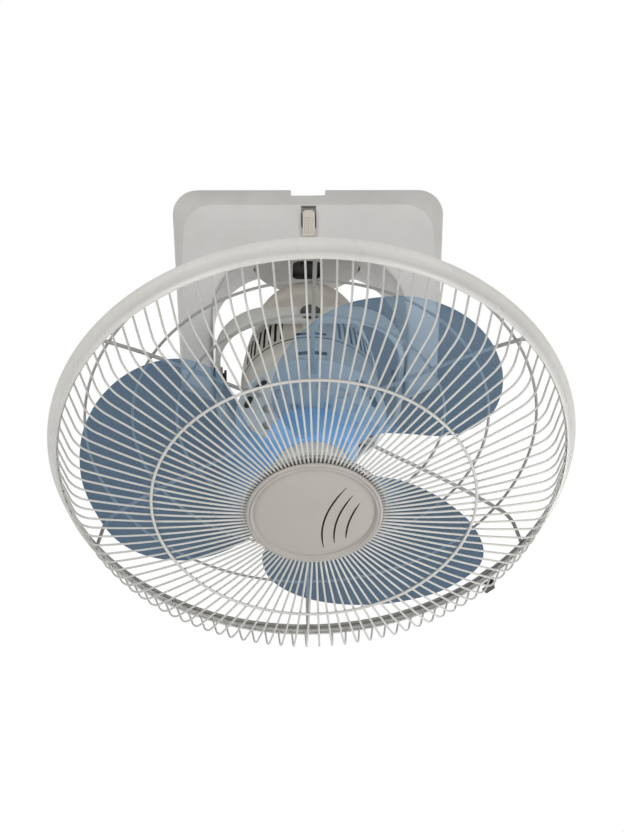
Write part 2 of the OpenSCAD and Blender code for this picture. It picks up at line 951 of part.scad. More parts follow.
module centre_cap() {
    base_w = wire_front(cap_radius) - wire_r - 0.4;
    dome = 190;
    crown = cap_seat + 5.2;
    color("#b3aca2")
    in_head()
        difference() {
            union() {
                rotate_extrude() {
                    // Rim with its two beads.
                    translate([cap_radius - 1.8, cap_seat + 1.8])
                        circle(r = 1.8);
                    translate([cap_radius - 6.4, cap_seat + 3.4])
                        circle(r = 1.5);
                    translate([0, cap_seat])
                        square([cap_radius - 1.8, 2.2]);
                    translate([0, cap_seat + 2.1])
                        square([cap_radius - 4, 1.4]);
                    intersection() {
                        translate([0, crown - dome])
                            circle(r = dome);
                        translate([0, cap_seat])
                            square([cap_radius - 7.2, 9]);
                    }
                }
                // Post that the screw goes into.
                translate([0, 0, base_w])
                    cylinder(r = 6, h = cap_seat - base_w + 1);
            }
            translate([0, 0, base_w - 1])
                cylinder(r = 2.02, h = 4.6);
            // Three slanted grooves on the right of the face.
            for (i = [0:2])
                translate([17 + 9 * i, -18 + 5 * i, crown - dome])
                    rotate([0, 0, -24])
                        difference() {
                            translate([-groove_width / 2, 0, 0])
                                cube([groove_width, 34 - 7 * i, dome + 2]);
                            translate([-30, -40, 0])
                                cube([60, 120, dome - 3.4 - 0.9 * i]);
                        }
        }
}

base_housing();
mounting_plate();
cable_grommet();
terminal_block();
spring_seat();
orbit_motor();
orbit_bracket();
orbit_motor_screws();
tilt_pins();
lever_spring();
release_lever();
crank();
gimbal_ring();
gimbal_bushes();
motor_rear_cover();
motor_front_cover();
cover_screws();
stator_core();
windings();
bearings();
rear_stem();
swing_pins();
rear_plate();
rear_ribs();
rear_rings();
rear_edge_ring();
rim_hoop();
front_edge_ring();
front_wires();
front_ring();
inner_ring();
rim_clip();
cap_plate();
cap_screw();
centre_cap();
motor_shaft();
rotor();
drive_pin();
blade_set();
spinner_nut();
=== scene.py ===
import json
import math

import bmesh
import bpy
from mathutils import Matrix, Vector


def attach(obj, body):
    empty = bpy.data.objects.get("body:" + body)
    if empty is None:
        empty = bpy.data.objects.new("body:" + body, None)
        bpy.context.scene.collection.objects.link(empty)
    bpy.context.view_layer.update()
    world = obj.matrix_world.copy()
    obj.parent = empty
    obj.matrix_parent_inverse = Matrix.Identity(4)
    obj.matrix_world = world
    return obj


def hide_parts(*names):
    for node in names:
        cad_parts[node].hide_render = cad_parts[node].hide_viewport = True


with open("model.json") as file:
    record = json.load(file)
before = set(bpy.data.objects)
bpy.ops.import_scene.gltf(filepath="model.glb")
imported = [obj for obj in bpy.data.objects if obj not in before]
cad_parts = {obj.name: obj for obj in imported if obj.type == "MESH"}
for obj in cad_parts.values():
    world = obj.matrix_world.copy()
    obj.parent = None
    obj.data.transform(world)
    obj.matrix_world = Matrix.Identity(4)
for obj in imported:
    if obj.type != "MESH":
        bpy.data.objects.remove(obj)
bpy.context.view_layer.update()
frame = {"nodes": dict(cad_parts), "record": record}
nodes = frame["nodes"]
print("frame loaded:", len(nodes), "nodes")

mm = 0.001
headTilt = math.radians(42)
pivot = Vector((0, -0.038, -0.169))
headFrame = Matrix.Translation(pivot) @ Matrix.Rotation(math.pi - headTilt, 4, "X") @ Matrix.Scale(mm, 4)
orbitFrame = Matrix.Translation(pivot) @ Matrix.Rotation(-headTilt / 2, 4, "X") @ Matrix.Scale(mm, 4)
baseFrame = Matrix.Scale(mm, 4)
# the same places for cutters of pieces that are drawn in the base's own millimetres
pivotPlace = Matrix.Translation(pivot / mm)
orbitPlace = pivotPlace @ Matrix.Rotation(-headTilt / 2, 4, "X")
lampAim = Vector((0, -0.12, -0.22))


def spin(degrees, axis="Z"):
    return Matrix.Rotation(math.radians(degrees), 4, axis)


def linked(thing):
    bpy.context.scene.collection.objects.link(thing)
    return thing


# camera, lights and floor
cameraSet = {"lensPx": 1986.5, "yaw": -1.83, "roll": -0.27, "lookUp": 6.21, "rimAlong": 105.4,
             "offset": (0.3, 35.2, 1707.4), "imageHeight": 832, "sensor": 24, "far": 50}


def placeCamera(s):
    # rows are the camera's right, down and forward directions
    up = math.radians(s["lookUp"])
    rows = Matrix(((1, 0, 0), (0, math.sin(up), -math.cos(up)), (0, math.cos(up), math.sin(up))))
    turn = spin(s["roll"]).to_3x3() @ spin(s["yaw"], "Y").to_3x3() @ rows
    middle = headFrame @ Vector((0, 0, s["rimAlong"]))
    spot = middle - turn.transposed() @ (Vector(s["offset"]) * mm)
    camera = linked(bpy.data.objects.new("camera", bpy.data.cameras.new("camera")))
    axes = Matrix((turn[0], -turn[1], -turn[2])).transposed()
    camera.matrix_world = Matrix.Translation(spot) @ axes.to_4x4()
    camera.data.sensor_fit = "VERTICAL"
    camera.data.sensor_height = s["sensor"]
    camera.data.lens = s["lensPx"] / s["imageHeight"] * s["sensor"]
    camera.data.clip_end = s["far"]
    bpy.context.scene.camera = camera


lampSet = {
    "key": {"spot": (1.4, -1.9, -0.25), "size": 1.0, "power": 22},
    "fill": {"spot": (-1.5, -1.8, -0.2), "size": 1.0, "power": 22},
    "under": {"spot": (0.42, -0.08, -0.88), "size": 0.45, "power": 2.6},
    "back": {"spot": (0.4, 1.6, 0.6), "size": 1.0, "power": 8},
}


def placeLamps(lamps):
    for name, s in lamps.items():
        light = bpy.data.lights.new(name, "AREA")
        light.size = s["size"]
        light.energy = s["power"]
        lamp = linked(bpy.data.objects.new(name, light))
        aim = lampAim - Vector(s["spot"])
        lamp.matrix_world = Matrix.Translation(s["spot"]) @ aim.to_track_quat("-Z", "Y").to_matrix().to_4x4()


def nodeOf(tree, kind, inputs=None, **settings):
    # inputs maps each socket to another node's output or to a plain value
    made = tree.nodes.new(kind)
    for name, value in settings.items():
        setattr(made, name, value)
    for socket, value in (inputs or {}).items():
        if isinstance(value, bpy.types.NodeSocket):
            tree.links.new(value, made.inputs[socket])
        else:
            made.inputs[socket].default_value = value
    return made


def mathOf(tree, operation, *values):
    return nodeOf(tree, "ShaderNodeMath", dict(enumerate(values)), operation=operation).outputs[0]


def ranged(tree, value, low, high, fromLow=0.3, fromHigh=0.7):
    return nodeOf(tree, "ShaderNodeMapRange", {"Value": value, "From Min": fromLow, "From Max": fromHigh,
                                               "To Min": low, "To Max": high}).outputs[0]


def newMaterial(name):
    material = bpy.data.materials.new(name)
    material.use_nodes = True
    tree = material.node_tree
    tree.nodes.clear()
    return material, tree, nodeOf(tree, "ShaderNodeOutputMaterial")


def dimBehind(tree, source, dim):
    # white straight ahead, and a dim room behind a see-through sheet
    depth = nodeOf(tree, "ShaderNodeLightPath").outputs["Transparent Depth"]
    ramp = nodeOf(tree, "ShaderNodeMapRange", {"Value": depth, "To Min": 1, "To Max": dim})
    tree.links.new(ramp.outputs[0], source.inputs["Strength"])


def whiteForEye(tree, surface, output, white, keep):
    # camera, mirror and see-through rays meet plain white, all others the lit surface
    rays = nodeOf(tree, "ShaderNodeLightPath").outputs
    direct = mathOf(tree, "MAXIMUM", rays["Is Camera Ray"], rays["Is Glossy Ray"])
    eye = mathOf(tree, "MAXIMUM", direct, rays["Is Transmission Ray"])
    share = mathOf(tree, "MULTIPLY", eye, keep)
    mix = nodeOf(tree, "ShaderNodeMixShader", {0: share, 1: surface, 2: white})
    tree.links.new(mix.outputs[0], output.inputs["Surface"])


stageSet = {"worldLight": 0.34, "behindTint": 0.1, "floorDrop": -0.95, "floorSize": 14, "shadowRadius": 1.6,
            "shadowLeast": 0.55, "floorColour": (0.86, 0.86, 0.85, 1)}


def buildStage(s):
    world = bpy.data.worlds.new("studio")
    bpy.context.scene.world = world
    world.use_nodes = True
    tree = world.node_tree
    tree.nodes.clear()
    output = nodeOf(tree, "ShaderNodeOutputWorld")
    light = nodeOf(tree, "ShaderNodeBackground", {"Strength": s["worldLight"]})
    white = nodeOf(tree, "ShaderNodeBackground", {"Color": (1, 1, 1, 1)})
    dimBehind(tree, white, s["behindTint"])
    whiteForEye(tree, light.outputs[0], output, white.outputs[0], 1)
    material, tree, output = newMaterial("floorPale")
    lit = nodeOf(tree, "ShaderNodeBsdfDiffuse", {"Color": s["floorColour"]})
    glow = nodeOf(tree, "ShaderNodeEmission")
    dimBehind(tree, glow, s["behindTint"])
    place = nodeOf(tree, "ShaderNodeTexCoord")
    away = nodeOf(tree, "ShaderNodeVectorMath", {0: place.outputs["Object"]}, operation="LENGTH")
    keep = ranged(tree, away.outputs["Value"], s["shadowLeast"], 1, 0, s["shadowRadius"])
    whiteForEye(tree, lit.outputs[0], output, glow.outputs[0], keep)
    half = s["floorSize"] / 2
    mesh = bpy.data.meshes.new("floor")
    corners = [(x * half, y * half, s["floorDrop"]) for x, y in ((-1, -1), (1, -1), (1, 1), (-1, 1))]
    mesh.from_pydata(corners, [], [(0, 1, 2, 3)])
    mesh.materials.append(material)
    linked(bpy.data.objects.new("floor", mesh))


placeCamera(cameraSet)
placeLamps(lampSet)
buildStage(stageSet)
bpy.context.scene.view_settings.view_transform = "Standard"
print("camera, lamps and floor placed")


# finishes: every one has colour drift, uneven gloss and a fine grain, in object space
finishes = {
    "housingPlastic": {"slot": "housing_grey", "colour": (0.60, 0.582, 0.563), "drift": 0.05, "rough": 0.42,
                       "grain": 900, "bump": 0.06, "dust": 0.05},
    "motorPaint": {"slot": "motor_beige", "colour": (0.66, 0.625, 0.56), "drift": 0.08, "rough": 0.38,
                   "grain": 700, "bump": 0.08, "dust": 0.08},
    "ringPaint": {"slot": "ring_grey", "colour": (0.61, 0.605, 0.56), "drift": 0.07, "rough": 0.36,
                  "grain": 500, "bump": 0.10, "dust": 0.06},
    "wirePaint": {"slot": "wire_grey", "colour": (0.54, 0.53, 0.50), "drift": 0.06, "rough": 0.3,
                  "grain": 400, "bump": 0.05, "dust": 0.03},
    "rimPaint": {"slot": "wire_grey", "colour": (0.63, 0.62, 0.59), "drift": 0.04, "rough": 0.3,
                 "grain": 400, "bump": 0.05, "dust": 0.015},
    "rearPaint": {"slot": "rear_wire_grey", "colour": (0.40, 0.39, 0.36), "drift": 0.07, "rough": 0.34,
                  "grain": 400, "bump": 0.05, "dust": 0.04},
    "zincSteel": {"slot": "steel", "colour": (0.56, 0.57, 0.58), "drift": 0.10, "rough": 0.36, "metal": 1.0,
                  "grain": 1600, "bump": 0.05, "dust": 0.05},
    "darkSteel": {"slot": "dark_steel", "colour": (0.06, 0.06, 0.064), "drift": 0.15, "rough": 0.5, "metal": 0.8,
                  "grain": 1200, "bump": 0.12, "dust": 0.05},
    "blackPlastic": {"slot": "black_plastic", "colour": (0.018, 0.018, 0.02), "drift": 0.2, "rough": 0.42,
                     "grain": 1500, "bump": 0.08, "dust": 0.02},
    "leverPlastic": {"slot": "lever_beige", "colour": (0.60, 0.545, 0.485), "drift": 0.05, "rough": 0.4,
                     "grain": 900, "bump": 0.05, "dust": 0.04},
    "capPlastic": {"slot": "cap_beige", "colour": (0.385, 0.362, 0.335), "drift": 0.04, "rough": 0.34,
                   "grain": 1500, "bump": 0.06, "dust": 0.03},
    "creamPlastic": {"slot": "terminal_cream", "colour": (0.78, 0.75, 0.66), "drift": 0.05, "rough": 0.4,
                     "grain": 900, "bump": 0.05, "dust": 0.03},
    "grommetRubber": {"slot": "grommet_rubber", "colour": (0.022, 0.022, 0.022), "drift": 0.2, "rough": 0.7,
                      "grain": 1400, "bump": 0.12, "dust": 0.04},
    "copperWire": {"slot": "copper", "colour": (0.56, 0.25, 0.11), "drift": 0.15, "rough": 0.3, "metal": 0.9,
                   "grain": 2500, "bump": 0.3, "dust": 0.02},
    "nutPlastic": {"slot": "nut_white", "colour": (0.66, 0.65, 0.60), "drift": 0.04, "rough": 0.3,
                   "grain": 900, "bump": 0.04, "dust": 0.03},
    "platePaint": {"slot": "rear_wire_grey", "colour": (0.66, 0.645, 0.60), "drift": 0.06, "rough": 0.4,
                   "grain": 260, "bump": 0.06, "dust": 0.05},
    # painted shade: a near-black paint for the walls of pockets, holes, vents and windows and for the inner walls of
    # the motor covers, where shade falls
    "paintedShade": {"slot": "housing_grey", "colour": (0.03, 0.028, 0.026), "drift": 0.2, "rough": 0.6,
                    "grain": 900, "bump": 0.05, "dust": 0.02},
    # painted shade for the walls of the cap's grooves
    "grooveShade": {"slot": "cap_beige", "colour": (0.055, 0.048, 0.038), "drift": 0.15, "rough": 0.5,
                    "grain": 900, "bump": 0.05, "dust": 0.03},
}

# what all finishes share: noises hold scale and detail, and the gloss span is added to the roughness
surfaceSet = {"driftNoise": (14, 4), "dustNoise": (45, 8), "dustEnds": (0.45, 0.75), "dustStrength": 6,
              "dustColour": (0.42, 0.38, 0.32), "dustMixed": 0.5, "glossNoise": (90, 5),
              "glossSpan": (-0.05, 0.09), "grainDetail": 3, "grainDeep": 0.0003}


def driftNoise(tree, scale, detail):
    place = nodeOf(tree, "ShaderNodeTexCoord").outputs["Object"]
    return nodeOf(tree, "ShaderNodeTexNoise", {"Scale": scale, "Detail": detail, "Vector": place}).outputs["Fac"]


def mixColour(tree, share, low, high):
    low, high = ((*c, 1) if isinstance(c, tuple) else c for c in (low, high))
    return nodeOf(tree, "ShaderNodeMix", {"Factor": share, 6: low, 7: high}, data_type="RGBA").outputs[2]


def glossOf(tree, shader, rough, noise, span):
    gloss = ranged(tree, driftNoise(tree, *noise), rough + span[0], rough + span[1])
    tree.links.new(gloss, shader.inputs["Roughness"])


def finishOf(name, shared):
    s = finishes[name]
    material, tree, output = newMaterial(name)
    shader = tree.nodes.new("ShaderNodeBsdfPrincipled")
    tree.links.new(shader.outputs[0], output.inputs["Surface"])
    colour, drift = s["colour"], s["drift"]
    low = tuple(c * (1 - drift) for c in colour)
    high = tuple(min(1, c * (1 + drift)) for c in colour)
    base = mixColour(tree, ranged(tree, driftNoise(tree, *shared["driftNoise"]), 0, 1), low, high)
    # dust: a warm grey film in soft patches
    film = shared["dustMixed"]
    dust = tuple((1 - film) * c + film * d for c, d in zip(colour, shared["dustColour"]))
    most = s["dust"] * shared["dustStrength"]
    patch = ranged(tree, driftNoise(tree, *shared["dustNoise"]), 0, most, *shared["dustEnds"])
    tree.links.new(mixColour(tree, patch, base, dust), shader.inputs["Base Color"])
    glossOf(tree, shader, s["rough"], shared["glossNoise"], shared["glossSpan"])
    shader.inputs["Metallic"].default_value = s.get("metal", 0)
    grain = driftNoise(tree, s["grain"], shared["grainDetail"])
    bump = nodeOf(tree, "ShaderNodeBump", {"Strength": s["bump"], "Distance": shared["grainDeep"], "Height": grain})
    tree.links.new(bump.outputs[0], shader.inputs["Normal"])
    return material


paints = {name: finishOf(name, surfaceSet) for name in finishes}


# blades and hub share one see-through plastic, which is fuller and bluer near the axis
tintSet = {"clear": (0.85, 0.905, 0.955), "body": (0.20, 0.385, 0.585), "seeThrough": 0.84, "shade": 0.93,
           "rough": 0.22, "coat": 0.3, "drift": 0.08, "driftNoise": (12, 3), "glossNoise": (60, 5),
           "glossSpan": (-0.04, 0.08), "hubBody": (0.26, 0.56, 0.95), "hubClear": 0.18, "hubEnds": (0.035, 0.085)}


def bladeFinish(s):
    material, tree, output = newMaterial("bladePlastic")
    shader = tree.nodes.new("ShaderNodeBsdfPrincipled")
    place = nodeOf(tree, "ShaderNodeTexCoord").outputs["Object"]
    turned = nodeOf(tree, "ShaderNodeMapping", vector_type="TEXTURE")
    turned.inputs["Location"].default_value = pivot
    turned.inputs["Rotation"].default_value = (math.pi - headTilt, 0, 0)
    tree.links.new(place, turned.inputs["Vector"])
    flat = nodeOf(tree, "ShaderNodeVectorMath", {0: turned.outputs[0], 1: (1, 1, 0)}, operation="MULTIPLY")
    away = nodeOf(tree, "ShaderNodeVectorMath", {0: flat.outputs[0]}, operation="LENGTH").outputs["Value"]
    near = ranged(tree, away, 1, 0, *s["hubEnds"])
    low, high = (tuple(c * (1 + sign * s["drift"]) for c in s["body"]) for sign in (-1, 1))
    base = mixColour(tree, ranged(tree, driftNoise(tree, *s["driftNoise"]), 0, 1), low, high)
    tree.links.new(mixColour(tree, near, base, s["hubBody"]), shader.inputs["Base Color"])
    glossOf(tree, shader, s["rough"], s["glossNoise"], s["glossSpan"])
    shader.inputs["Coat Weight"].default_value = s["coat"]
    clear = nodeOf(tree, "ShaderNodeBsdfTransparent", {"Color": (*s["clear"], 1)})
    share = ranged(tree, near, s["seeThrough"], s["hubClear"], 0, 1)
    # light passes the thin blades more freely than the eye does
    isShadow = nodeOf(tree, "ShaderNodeLightPath").outputs["Is Shadow Ray"]
    share = mathOf(tree, "MAXIMUM", share, ranged(tree, isShadow, 0, s["shade"], 0, 1))
    mix = nodeOf(tree, "ShaderNodeMixShader", {0: share, 1: shader.outputs[0], 2: clear.outputs[0]})
    tree.links.new(mix.outputs[0], output.inputs["Surface"])
    return material


paints["bladePlastic"] = bladeFinish(tintSet)

# nodes that are not redrawn below keep their solid and take the first finish of their slot
slotFinish = {}
for name, s in finishes.items():
    slotFinish.setdefault(s["slot"], paints[name])
slotFinish["blade_blue"] = paints["bladePlastic"]
for part in frame["record"]["subparts"]:
    carried = nodes[part["node"]]
    carried.data.materials.clear()
    carried.data.materials.append(slotFinish[part["material_slot"]])
print("finishes made:", len(paints))


# mesh helpers: everything is drawn in millimetres in its own frame, then moved to its place,
# and cutters run past the piece that they cut
def meshOf(name, build):
    made = bmesh.new()
    build(made)
    bmesh.ops.remove_doubles(made, verts=made.verts, dist=1e-4)
    bmesh.ops.recalc_face_normals(made, faces=made.faces)
    mesh = bpy.data.meshes.new(name)
    made.to_mesh(mesh)
    made.free()
    return mesh


def objectOf(name, mesh):
    return linked(bpy.data.objects.new(name, mesh))


def placed(piece, place):
    if place:
        piece.data.transform(place)
    return piece


def lathe(name, profile, steps=96, place=None):
    # profile points are (radius, distance along the axis), and the last one joins the first
    def build(made):
        rings = []
        for i in range(steps):
            a = 2 * math.pi * i / steps
            rings.append([made.verts.new((r * math.cos(a), r * math.sin(a), w)) for r, w in profile])
        for i in range(steps):
            one, two = rings[i], rings[(i + 1) % steps]
            for j in range(len(profile)):
                k = (j + 1) % len(profile)
                if profile[j][0] < 1e-6 and profile[k][0] < 1e-6:
                    continue
                made.faces.new((one[j], one[k], two[k], two[j]))
    return placed(objectOf(name, meshOf(name, build)), place)


def loft(name, loops, place=None):
    def build(made):
        rows = [[made.verts.new(p) for p in loop] for loop in loops]
        count = len(rows[0])
        for one, two in zip(rows, rows[1:]):
            for i in range(count):
                k = (i + 1) % count
                made.faces.new((one[i], one[k], two[k], two[i]))
        made.faces.new(list(reversed(rows[0])))
        made.faces.new(rows[-1])
    return placed(objectOf(name, meshOf(name, build)), place)


def prism(name, outline, low, high, place=None):
    return loft(name, [[(x, y, z) for x, y in outline] for z in (low, high)], place)


def block(name, low, high, place=None):
    corners = [(low[0], low[1]), (high[0], low[1]), (high[0], high[1]), (low[0], high[1])]
    return prism(name, corners, low[2], high[2], place)


def cylinder(name, radius, low, high, steps=96, place=None, bore=0):
    return lathe(name, [(bore, low), (radius, low), (radius, high), (bore, high)], steps, place)


def joined(name, pieces):
    made = bmesh.new()
    for piece in pieces:
        made.from_mesh(piece.data)
        bpy.data.objects.remove(piece)
    mesh = bpy.data.meshes.new(name)
    made.to_mesh(mesh)
    made.free()
    return objectOf(name, mesh)


def baked(piece):
    # the piece's modifiers become its plain mesh
    graph = bpy.context.evaluated_depsgraph_get()
    mesh = bpy.data.meshes.new_from_object(piece.evaluated_get(graph))
    piece.modifiers.clear()
    if piece.type == "MESH":
        piece.data = mesh
        return piece
    name = piece.name
    bpy.data.objects.remove(piece)
    return objectOf(name, mesh)


def combined(piece, other, operation="DIFFERENCE"):
    modifier = piece.modifiers.new("combine", "BOOLEAN")
    modifier.operation = operation
    modifier.solver = "EXACT"
    modifier.use_self = operation == "UNION"
    modifier.material_mode = "TRANSFER"
    modifier.object = other
    baked(piece)
    bpy.data.objects.remove(other)
    return piece


def cutBy(piece, name, cutters, paint):
    # the cut walls take the paint
    cutter = joined(name, cutters)
    cutter.data.materials.append(paints[paint])
    return combined(piece, cutter)


def softened(piece, width, angle):
    modifier = piece.modifiers.new("soften", "BEVEL")
    modifier.width = width
    modifier.segments = 2
    modifier.limit_method = "ANGLE"
    modifier.angle_limit = math.radians(angle)
    modifier.miter_outer = "MITER_ARC"
    return baked(piece)


def seated(piece, paint, body, replaced, place=None, sharp=34, even=False):
    placed(piece, place)
    if len(piece.data.materials) == 0:
        piece.data.materials.append(paints[paint])
    elif piece.data.materials[0] is None:
        piece.data.materials[0] = paints[paint]
    piece.data.shade_smooth()
    piece.data.set_sharp_from_angle(angle=math.radians(sharp))
    if even:
        weighted = piece.modifiers.new("even", "WEIGHTED_NORMAL")
        weighted.keep_sharp = True
        weighted.weight = 90
        baked(piece)
    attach(piece, body)
    if replaced:
        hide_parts(*replaced)
    return piece


def aroundTree(name, tube):
    # copies its input round the axis, and first gives a line a round section when tube is true
    tree = bpy.data.node_groups.new(name, "GeometryNodeTree")
    for socket, kind in (("Geometry", "Geometry"), ("Count", "Int"), ("First Angle", "Float"), ("Step Angle", "Float"),
                         ("Radius", "Float"), ("Finish", "Material")):
        tree.interface.new_socket(socket, in_out="INPUT", socket_type="NodeSocket" + kind)
    tree.interface.new_socket("Geometry", in_out="OUTPUT", socket_type="NodeSocketGeometry")
    start = nodeOf(tree, "NodeGroupInput").outputs
    shape = start["Geometry"]
    if tube:
        section = nodeOf(tree, "GeometryNodeCurvePrimitiveCircle", {"Resolution": 12, "Radius": start["Radius"]})
        shape = nodeOf(tree, "GeometryNodeCurveToMesh", {"Curve": shape, "Profile Curve": section.outputs["Curve"],
                                                         "Fill Caps": True}).outputs["Mesh"]
    single = nodeOf(tree, "GeometryNodeGeometryToInstance", {0: shape})
    copies = nodeOf(tree, "GeometryNodeDuplicateElements", {"Geometry": single.outputs[0], "Amount": start["Count"]},
                    domain="INSTANCE").outputs
    angle = mathOf(tree, "MULTIPLY_ADD", copies["Duplicate Index"], start["Step Angle"], start["First Angle"])
    turn = nodeOf(tree, "ShaderNodeCombineXYZ", {"Z": angle})
    spun = nodeOf(tree, "GeometryNodeRotateInstances", {"Instances": copies["Geometry"], "Rotation": turn.outputs[0],
                                                        "Local Space": False})
    real = nodeOf(tree, "GeometryNodeRealizeInstances", {0: spun.outputs[0]})
    dress = nodeOf(tree, "GeometryNodeSetMaterial", {"Geometry": real.outputs[0], "Material": start["Finish"]})
    nodeOf(tree, "NodeGroupOutput", {0: dress.outputs[0]})
    return tree


roundTubes = aroundTree("tubesRound", True)
roundCopies = aroundTree("copiesRound", False)


def repeated(piece, tree, count, paint, first=0.0, radius=1.0):
    modifier = piece.modifiers.new("repeat", "NODES")
    modifier.node_group = tree
    sockets = {item.name: item.identifier for item in tree.interface.items_tree if item.in_out == "INPUT"}
    modifier[sockets["Count"]] = count
    modifier[sockets["First Angle"]] = math.radians(first)
    modifier[sockets["Step Angle"]] = math.radians(360 / count)
    modifier[sockets["Radius"]] = radius
    modifier[sockets["Finish"]] = paints[paint]
    return baked(piece)


def lineOf(name, points):
    curve = bpy.data.curves.new(name, "CURVE")
    curve.dimensions = "3D"
    spline = curve.splines.new("POLY")
    spline.points.add(len(points) - 1)
    for spot, p in zip(spline.points, points):
        spot.co = (*p, 1)
    return linked(bpy.data.objects.new(name, curve))


def arcPoints(centre, radius, start, end, steps):
    return [(centre[0] + radius * math.cos(math.radians(start + (end - start) * i / steps)),
             centre[1] + radius * math.sin(math.radians(start + (end - start) * i / steps)))
            for i in range(steps + 1)]


def roundedOutline(low, high, r, steps):
    points = []
    for x, y, start in ((high[0] - r, high[1] - r, 0), (low[0] + r, high[1] - r, 90),
                        (low[0] + r, low[1] + r, 180), (high[0] - r, low[1] + r, 270)):
        points += arcPoints((x, y), r, start, start + 90, steps)
    return points


# base housing: walls are side, front and back, wells are radius and ends along the orbit axis,
# notch and slot are half width, depth and ends
baseSet = {"width": 244, "depth": 120, "corner": 22, "side": 8, "archWidth": 172, "archRadius": 55, "archTop": -60.5,
           "outerEnd": -175.5, "innerEnd": -188, "bevelDeep": 11, "bevelTop": 16, "bevelSide": 10, "bevelEnd": 1.5,
           "bevelFoot": 2, "bevelCorner": 4, "bevelEase": 1.3, "lipRound": 4.5, "barFloor": 3, "barWalls": (14, 15, 3),
           "seatDeep": 2.3, "seatWalls": (11, 13, 3), "crankWell": (49.5, 96, 122), "motorWell": (26.5, 110, 144),
           "pinHole": 4.02, "notch": (15.5, 16, -7, 4), "leverSlot": (6.7, 11, -37, -17)}


def housingOutline(s, inset=0.0):
    # inset runs from 0 at the full outline to 1 at the flat front face
    half = s["width"] / 2
    corner = s["corner"] + s["bevelCorner"] * inset
    top, side, end = -s["bevelTop"] * inset, s["bevelSide"] * inset, s["bevelEnd"] * inset
    right = arcPoints((half - side - corner, top - corner), corner, 90, 0, 8)
    count = 7
    for i in range(1, count + 1):
        t = i / count
        z = (top - corner) * (1 - t) + (s["outerEnd"] + end) * t
        slide = side * (1 - t) ** s["bevelEase"] + end * t
        right.append((half - s["side"] * t - slide, z))
    right.append((s["archWidth"] / 2, s["innerEnd"] + s["bevelFoot"] * inset))
    return right + [(-x, z) for x, z in reversed(right)]


def archOutline(s, grow):
    half = s["archWidth"] / 2 + grow
    top = s["archTop"] + grow
    r = s["archRadius"] + grow
    low = s["innerEnd"] - 30
    return ([(half, low)] + arcPoints((half - r, top - r), r, 0, 90, 14)
            + arcPoints((-half + r, top - r), r, 90, 180, 14) + [(-half, low)])


def buildHousing(s):
    front, back, half = -s["depth"] / 2, s["depth"] / 2, s["width"] / 2
    steps = [(back, 0.04), (back - 1.2, 0.0), (front + s["bevelDeep"] + 1.5, 0.0), (front + s["bevelDeep"], 0.02),
             (front + 9, 0.16), (front + 6, 0.42), (front + 3, 0.70), (front + 1, 0.90), (front + 0.25, 0.975),
             (front, 1.0)]
    housing = loft("baseShell", [[(x, y, z) for x, z in housingOutline(s, inset)] for y, inset in steps])
    # the arch grows at its rounded front lip and at its back edge
    lip = s["lipRound"]
    cuts = [(front - 5, lip + 6)] + arcPoints((front + lip, lip), lip, 180, 270, 5)
    cuts += [(back - 1.5, 0), (back + 0.01, 1.5), (back + 5, 6.5)]
    combined(housing, loft("archCut", [[(x, y, z) for x, z in archOutline(s, grow)] for y, grow in cuts]))
    # the backs of the arms slope forward to their lower ends
    slope = [(back + 0.1, s["archTop"] - 10), (-14, s["innerEnd"] - 3), (back + 20, s["innerEnd"] - 20)]
    combined(housing, loft("leanCut", [[(x, y, z) for y, z in slope] for x in (-130, 130)]))
    for name, walls, low, high in (("barHollow", s["barWalls"], s["archTop"] + s["barFloor"], 1),
                                   ("plateSeat", s["seatWalls"], -s["seatDeep"], 4)):
        side, ahead, behind = walls
        combined(housing, block(name, (-half + side, front + ahead, low), (half - side, back - behind, high)))
    for name in ("crankWell", "motorWell"):
        combined(housing, cylinder(name, *s[name], place=orbitPlace))
    for name in ("notch", "leverSlot"):
        wide, deep, low, high = s[name]
        combined(housing, block(name, (-wide, front - 1, low), (wide, front + deep, high)))
    combined(housing, cylinder("pinHoles", s["pinHole"], -125, 125, 32, pivotPlace @ spin(90, "Y")))
    softened(housing, 0.9, 40)
    return seated(housing, "housingPlastic", "base", ["base_housing"], baseFrame, sharp=30, even=True)


buildHousing(baseSet)
print("base housing built")


# mounting plate, trimmed to the rounded top of the base
def buildPlate(s):
    plate = objectOf("mountPlate", nodes["mounting_plate"].data.copy())
    plate.data.transform(nodes["mounting_plate"].matrix_world)
    plate.data.transform(Matrix.Scale(1 / mm, 4))
    outline = [(x, z if z < -1 else z + 0.02) for x, z in housingOutline(s)]
    trim = loft("plateTrim", [[(x, y, z) for x, z in outline] for y in (-80, 80)])
    combined(plate, trim, "INTERSECT")
    return seated(plate, "zincSteel", "base", ["mounting_plate"], baseFrame, sharp=30)


buildPlate(baseSet)
print("mounting plate built")


# orbit disc in the base, and the boss and pin on it
discSet = {"radius": 48.5, "low": 116, "high": 121, "edge": 0.6, "hub": 12, "hubTop": 122, "reach": 40.9,
           "pocket": ((-13, -9), (13, 22)), "pocketRound": 5, "pocketDeep": 3.4, "boss": 7, "bossLow": 112.6,
           "pin": 3, "pinLow": 110.6, "shaft": 3, "shaftTop": 134}


